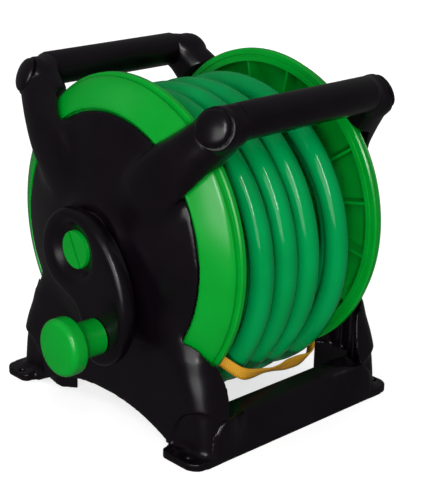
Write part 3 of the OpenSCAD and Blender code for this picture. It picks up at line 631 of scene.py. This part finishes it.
# The wound hose: one tube in two layers over the inner turns. The same route as the solid, in mm and in
# shares of a turn. Each turn crosses to the next one's place behind the drum, and the last lower one climbs
hose = {
    "diameter": 17.8,
    "loopRadius": 109,
    "drop": 11,
    "layerStep": 18.4,
    "axleHeight": 140,
    "lowerTurns": [-51.75, -28.25, -5.25, 17.5, 48.5],
    "upperTurns": [37.5, 6, -16.5, -40, -40],
    "crossing": (0.32, 0.36),
    "lowerMove": (0.5, 0.5),
    "climbMove": (0.6, 0.4),
    "upperMove": (0, 0.45),
    "lastMove": (0, 0.3),
    "climb": (0.2, 0.4),
    "slack": {"least": 0.8, "more": 0.2, "from": (0.16, 0.14), "to": (0.7, 0.14)},
    "sides": 20,
    "stepLength": 7,
    "stepsPerTurn": 24,
    "runOn": 8,
    "innerTurns": 6,
    "innerPitch": 18.6,
    "innerGap": 0.6,
    "innerSides": 14,
    "innerStepLength": 9,
    "innerStepsPerTurn": 36,
}


# Smooth rise from 0 to 1 over a (start, length) pair
def ease(v, ramp):
    c = min(max((v - ramp[0]) / ramp[1], 0), 1)
    return c * c * (3 - 2 * c)


def hosePoint(t, s):
    places = [s["lowerTurns"][0]] + s["lowerTurns"] + s["upperTurns"]
    lowerCount = len(s["lowerTurns"])
    k = math.floor(t)
    p = t - k
    q = (p - s["crossing"][0]) / s["crossing"][1]
    upper = k >= lowerCount
    lastLower = k == lowerCount - 1
    if k == len(places) - 3:
        move = ease(p, s["lastMove"])
    else:
        move = ease(q, s["upperMove"] if upper else s["climbMove"] if lastLower else s["lowerMove"])
    slack = s["slack"]
    rest = slack["least"] + slack["more"] * (ease(p, slack["from"]) - ease(p, slack["to"]))
    dip = 0 if upper else rest * (1 - ease(q, s["climb"])) if lastLower else rest
    x = places[k + 1] * (1 - move) + places[k + 2] * move
    radius = s["loopRadius"] - s["layerStep"] * dip
    turn = math.radians(180 + 360 * p)
    return Vector((x, radius * math.cos(turn), s["axleHeight"] - s["drop"] + radius * math.sin(turn)))


def hoseRoute(s):
    count = len(s["lowerTurns"]) + len(s["upperTurns"]) - 2
    steps = s["stepsPerTurn"]
    points = [hosePoint(i / steps, s) for i in range(-s["runOn"], count * steps + s["runOn"])]
    first = points[0] + (points[0] - points[1]).normalized() * s["diameter"]
    last = points[-1] + (points[-1] - points[-2]).normalized() * s["diameter"]
    return [first] + points + [last]


def innerRoute(s):
    radius = s["loopRadius"] - s["layerStep"] - s["diameter"] - s["innerGap"]
    steps = s["innerStepsPerTurn"]
    points = []
    for i in range(s["innerTurns"] * steps + 1):
        turn = math.radians(90 + 360 * i / steps)
        points.append(Vector(((i / steps - s["innerTurns"] / 2) * s["innerPitch"],
                              radius * math.cos(turn),
                              s["axleHeight"] - s["drop"] + radius * math.sin(turn))))
    return points


# Tree that sweeps a round tube along a route; the UV map runs round it and along it
def tubeTree():
    tree = bpy.data.node_groups.new("sweepTube", "GeometryNodeTree")
    tree.interface.new_socket("Route", in_out="INPUT", socket_type="NodeSocketGeometry")
    for label, kind, value in (("Tube Radius", "NodeSocketFloat", 0.0089), ("Sides", "NodeSocketInt", 20),
                               ("Step Length", "NodeSocketFloat", 0.008)):
        socket = tree.interface.new_socket(label, in_out="INPUT", socket_type=kind)
        socket.default_value = value
    tree.interface.new_socket("Material", in_out="INPUT", socket_type="NodeSocketMaterial")
    tree.interface.new_socket("Tube", in_out="OUTPUT", socket_type="NodeSocketGeometry")
    entry = addNode(tree, "NodeGroupInput").outputs
    resampled = addNode(tree, "GeometryNodeResampleCurve", {"mode": "LENGTH"},
                        {"Curve": entry["Route"], "Length": entry["Step Length"]})
    spline = addNode(tree, "GeometryNodeSplineParameter")
    marked = addNode(tree, "GeometryNodeCaptureAttribute", {}, {"Geometry": resampled.outputs["Curve"]})
    marked.capture_items.new("FLOAT", "along")
    tree.links.new(spline.outputs["Length"], marked.inputs["along"])
    profile = addNode(tree, "GeometryNodeCurvePrimitiveCircle", {},
                      {"Resolution": entry["Sides"], "Radius": entry["Tube Radius"]})
    around = addNode(tree, "GeometryNodeSplineParameter")
    markedRing = addNode(tree, "GeometryNodeCaptureAttribute", {}, {"Geometry": profile.outputs["Curve"]})
    markedRing.capture_items.new("FLOAT", "around")
    tree.links.new(around.outputs["Factor"], markedRing.inputs["around"])
    swept = addNode(tree, "GeometryNodeCurveToMesh", {"in:Fill Caps": True},
                    {"Curve": marked.outputs["Geometry"], "Profile Curve": markedRing.outputs["Geometry"]})
    pair = addNode(tree, "ShaderNodeCombineXYZ", {},
                   {"X": markedRing.outputs["around"], "Y": marked.outputs["along"]})
    mapped = addNode(tree, "GeometryNodeStoreNamedAttribute",
                     {"data_type": "FLOAT2", "domain": "CORNER", "in:Name": "UVMap"},
                     {"Geometry": swept.outputs["Mesh"], "Value": pair.outputs["Vector"]})
    smooth = addNode(tree, "GeometryNodeSetShadeSmooth", {"in:Shade Smooth": True},
                     {"Geometry": mapped.outputs["Geometry"]})
    real = addNode(tree, "GeometryNodeRealizeInstances", {}, {"Geometry": smooth.outputs["Geometry"]})
    painted = addNode(tree, "GeometryNodeSetMaterial", {},
                      {"Geometry": real.outputs["Geometry"], "Material": entry["Material"]})
    addNode(tree, "NodeGroupOutput", {}, {"Tube": painted.outputs["Geometry"]})
    return tree


def runTree(carrier, tree, values, name):
    modifier = carrier.modifiers.new(tree.name, "NODES")
    modifier.node_group = tree
    sockets = {item.name: item.identifier for item in tree.interface.items_tree if item.in_out == "INPUT"}
    for label, value in values.items():
        modifier[sockets[label]] = value
    carrier.update_tag()
    bpy.context.view_layer.update()
    mesh = bpy.data.meshes.new_from_object(carrier.evaluated_get(bpy.context.evaluated_depsgraph_get()))
    mesh.name = name
    carrier.modifiers.remove(modifier)
    bpy.data.objects.remove(carrier)
    piece = bpy.data.objects.new(name, mesh)
    bpy.context.scene.collection.objects.link(piece)
    return piece


def routeCurve(name, points):
    data = bpy.data.curves.new(name, "CURVE")
    data.dimensions = "3D"
    spline = data.splines.new("NURBS")
    spline.points.add(len(points) - 1)
    for point, place in zip(spline.points, points):
        point.co = (*(place * mm), 1)
    spline.order_u = 3
    spline.use_endpoint_u = True
    spline.resolution_u = 4
    carrier = bpy.data.objects.new(name, data)
    bpy.context.scene.collection.objects.link(carrier)
    return carrier


sweepTube = tubeTree()
tube = {"Tube Radius": hose["diameter"] / 2 * mm, "Material": greenPvc}
hoseTurns = runTree(routeCurve("hoseRoute", hoseRoute(hose)), sweepTube,
                    {**tube, "Sides": hose["sides"], "Step Length": hose["stepLength"] * mm}, "hoseTurns")
innerTurns = runTree(routeCurve("innerRoute", innerRoute(hose)), sweepTube,
                     {**tube, "Sides": hose["innerSides"], "Step Length": hose["innerStepLength"] * mm},
                     "innerHoseTurns")
for piece, node in ((hoseTurns, "hose_winding"), (innerTurns, "hose_core")):
    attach(piece, "drum")
    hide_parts(node)
print("hose wound:", len(hoseTurns.data.polygons), "faces")

# The tape that ties the turns and hangs under them, in mm and degrees. The tables run along the axle, from
# -1 to 1 over "span" each way: the way its face looks, where it lies round the axle, and how far from it
tape = {
    "width": 10,
    "thickness": 0.9,
    "face": [(-1, 4), (-0.75, 8), (-0.45, 34), (-0.25, 52), (-0.05, 44), (0.15, 16),
             (0.4, 12), (0.62, 34), (0.75, 50), (0.9, 40), (1, 20)],
    "lean": [(-1, 38), (1, 56)],
    "reach": [(-1, 112.3), (-0.93, 115), (-0.87, 119.5), (-0.81, 125.5), (-0.75, 129.4), (-0.69, 130.5),
              (-0.54, 131.4), (-0.15, 131.5), (0.23, 131.2), (0.53, 130.8), (0.69, 129.8), (0.75, 127.2),
              (0.81, 123.7), (0.87, 119.4), (0.93, 114.2), (1, 108.2)],
    "faceBlur": 0.03,
    "reachBlur": 0.04,
    "span": 66.5,
    "halfLength": 66.3,
    "steps": 96,
    "columns": (-1, -0.33, 0.33, 1),
    "swell": 0.3,
}


def blurred(x, table, step):
    return sum(lookUp(x + k * step, table) for k in (-2, -1, 0, 1, 2)) / 5


def makeTape(s):
    rows, uvs, faces = [], [], []
    run = 0
    last = None
    for i in range(s["steps"] + 1):
        x = s["halfLength"] * (2 * i / s["steps"] - 1)
        share = x / s["span"]
        reach = blurred(share, s["reach"], s["reachBlur"])
        lean = math.radians(lookUp(share, s["lean"]))
        face = math.radians(blurred(share, s["face"], s["faceBlur"]))
        middle = Vector((x, -reach * math.cos(lean), hose["axleHeight"] - reach * math.sin(lean)))
        wide = Vector((0, -math.sin(face), math.cos(face))) * s["width"] / 2
        out = Vector((0, -math.cos(face), -math.sin(face))) * s["thickness"] / 2
        run += (middle - last).length if last else 0
        last = middle
        for side in s["columns"]:
            rows.append(middle + wide * side + out * (1 - s["swell"] * side * side))
            uvs.append(((side + 1) * s["width"] / 2 * mm, run * mm))
    count = len(s["columns"])
    for i in range(s["steps"]):
        for j in range(count - 1):
            a = count * i + j
            faces.append((a, a + count, a + count + 1, a + 1))
    piece = addMesh("hoseTape", rows, faces, yellowTape, uvs)
    wall = piece.modifiers.new("wall", "SOLIDIFY")
    wall.thickness = s["thickness"] * mm
    wall.offset = 0
    return piece, run


hoseTape, tapeRun = makeTape(tape)
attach(hoseTape, "drum")
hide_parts("hose_strap")
print("tape tied, length", round(tapeRun), "mm")


# Studio: a glowing floor, a room with a brighter ceiling, a tall strip box over the camera and a wide box
# on the crank side, whose mirror images give the highlights, and "soft" boxes that fill the shadows but
# aren't mirrored. Azimuth, elevation and distance (mm) from the middle of the reel
studio = {
    "floor": "#a8a8a8",
    "floorSize": 12,
    "floorGlow": 0.7,
    "surround": 1.0,
    "walls": 0.25,
    "wallsUpTo": 0.2,
    "ceiling": 0.42,
    "ceilingFrom": 0.9,
    "mirrored": 0.4,
    "aim": (0, 0, 130),
    "lights": [
        {"name": "stripBox", "azimuth": -43, "elevation": 31, "distance": 2400,
         "wide": 150, "high": 1150, "power": 20},
        {"name": "wideBox", "azimuth": -62, "elevation": 15, "distance": 2000,
         "wide": 1450, "high": 1200, "power": 21},
        {"name": "fillBox", "azimuth": -46, "elevation": 7, "distance": 2200,
         "wide": 400, "high": 250, "power": 27, "soft": True},
        {"name": "topBox", "azimuth": 40, "elevation": 70, "distance": 2200,
         "wide": 1400, "high": 1400, "power": 4, "soft": True},
        {"name": "rimBox", "azimuth": -140, "elevation": 30, "distance": 2200,
         "wide": 500, "high": 1000, "power": 14, "soft": True},
        {"name": "backBox", "azimuth": 115, "elevation": 25, "distance": 2200,
         "wide": 900, "high": 1000, "power": 22, "soft": True},
    ],
}


def buildStudio(s):
    bpy.ops.mesh.primitive_plane_add(size=s["floorSize"])
    floor = bpy.context.object
    floor.name = "studioFloor"
    material, tree = newMaterial("paintedFloor")
    shader = addNode(tree, "ShaderNodeBsdfPrincipled",
                     {"in:Base Color": toLinear(s["floor"]), "in:Roughness": 0.8, "in:Specular IOR Level": 0.1,
                      "in:Emission Color": (1, 1, 1, 1), "in:Emission Strength": s["floorGlow"]})
    addNode(tree, "ShaderNodeOutputMaterial", {}, {"Surface": shader.outputs["BSDF"]})
    floor.data.materials.append(material)
    # The floor is neither mirrored in the glossy plastic nor thrown back onto it
    floor.visible_glossy = False
    floor.visible_diffuse = False
    aim = Vector(s["aim"]) * mm
    for light in s["lights"]:
        data = bpy.data.lights.new(light["name"], "AREA")
        data.shape = "RECTANGLE"
        data.size = light["wide"] * mm
        data.size_y = light["high"] * mm
        data.energy = light["power"]
        lamp = bpy.data.objects.new(light["name"], data)
        lamp.visible_glossy = not light.get("soft", False)
        az, el = math.radians(light["azimuth"]), math.radians(light["elevation"])
        out = Vector((math.sin(az) * math.cos(el), -math.cos(az) * math.cos(el), math.sin(el)))
        facing = out.to_track_quat("Z", "Y").to_matrix().to_4x4()
        lamp.matrix_world = Matrix.Translation(aim + out * light["distance"] * mm) @ facing
        bpy.context.scene.collection.objects.link(lamp)
    world = bpy.data.worlds.new("studioWorld")
    bpy.context.scene.world = world
    world.use_nodes = True
    tree = world.node_tree
    tree.nodes.clear()
    # White to the camera; otherwise a room that brightens upwards and is dimmer where it's mirrored
    direction = addNode(tree, "ShaderNodeTexCoord")
    height = addNode(tree, "ShaderNodeSeparateXYZ", {}, {"Vector": direction.outputs["Generated"]})
    room = addNode(tree, "ShaderNodeMapRange",
                   {"in:1": s["wallsUpTo"], "in:2": s["ceilingFrom"], "in:3": s["walls"], "in:4": s["ceiling"]},
                   {"Value": height.outputs["Z"]})
    ray = addNode(tree, "ShaderNodeLightPath")
    dimmer = addNode(tree, "ShaderNodeMapRange", {"in:3": 1.0, "in:4": s["mirrored"]},
                     {"Value": ray.outputs["Is Glossy Ray"]})
    filled = addNode(tree, "ShaderNodeMath", {"operation": "MULTIPLY"},
                     {"0": room.outputs["Result"], "1": dimmer.outputs["Result"]})
    level = addNode(tree, "ShaderNodeMapRange", {"in:4": s["surround"]},
                    {"Value": ray.outputs["Is Camera Ray"], "3": filled.outputs["Value"]})
    shell = addNode(tree, "ShaderNodeBackground", {"in:Color": (1, 1, 1, 1)},
                    {"Strength": level.outputs["Result"]})
    addNode(tree, "ShaderNodeOutputWorld", {}, {"Surface": shell.outputs["Background"]})
    bpy.context.scene.view_settings.view_transform = "Standard"


buildStudio(studio)
print("studio lit")
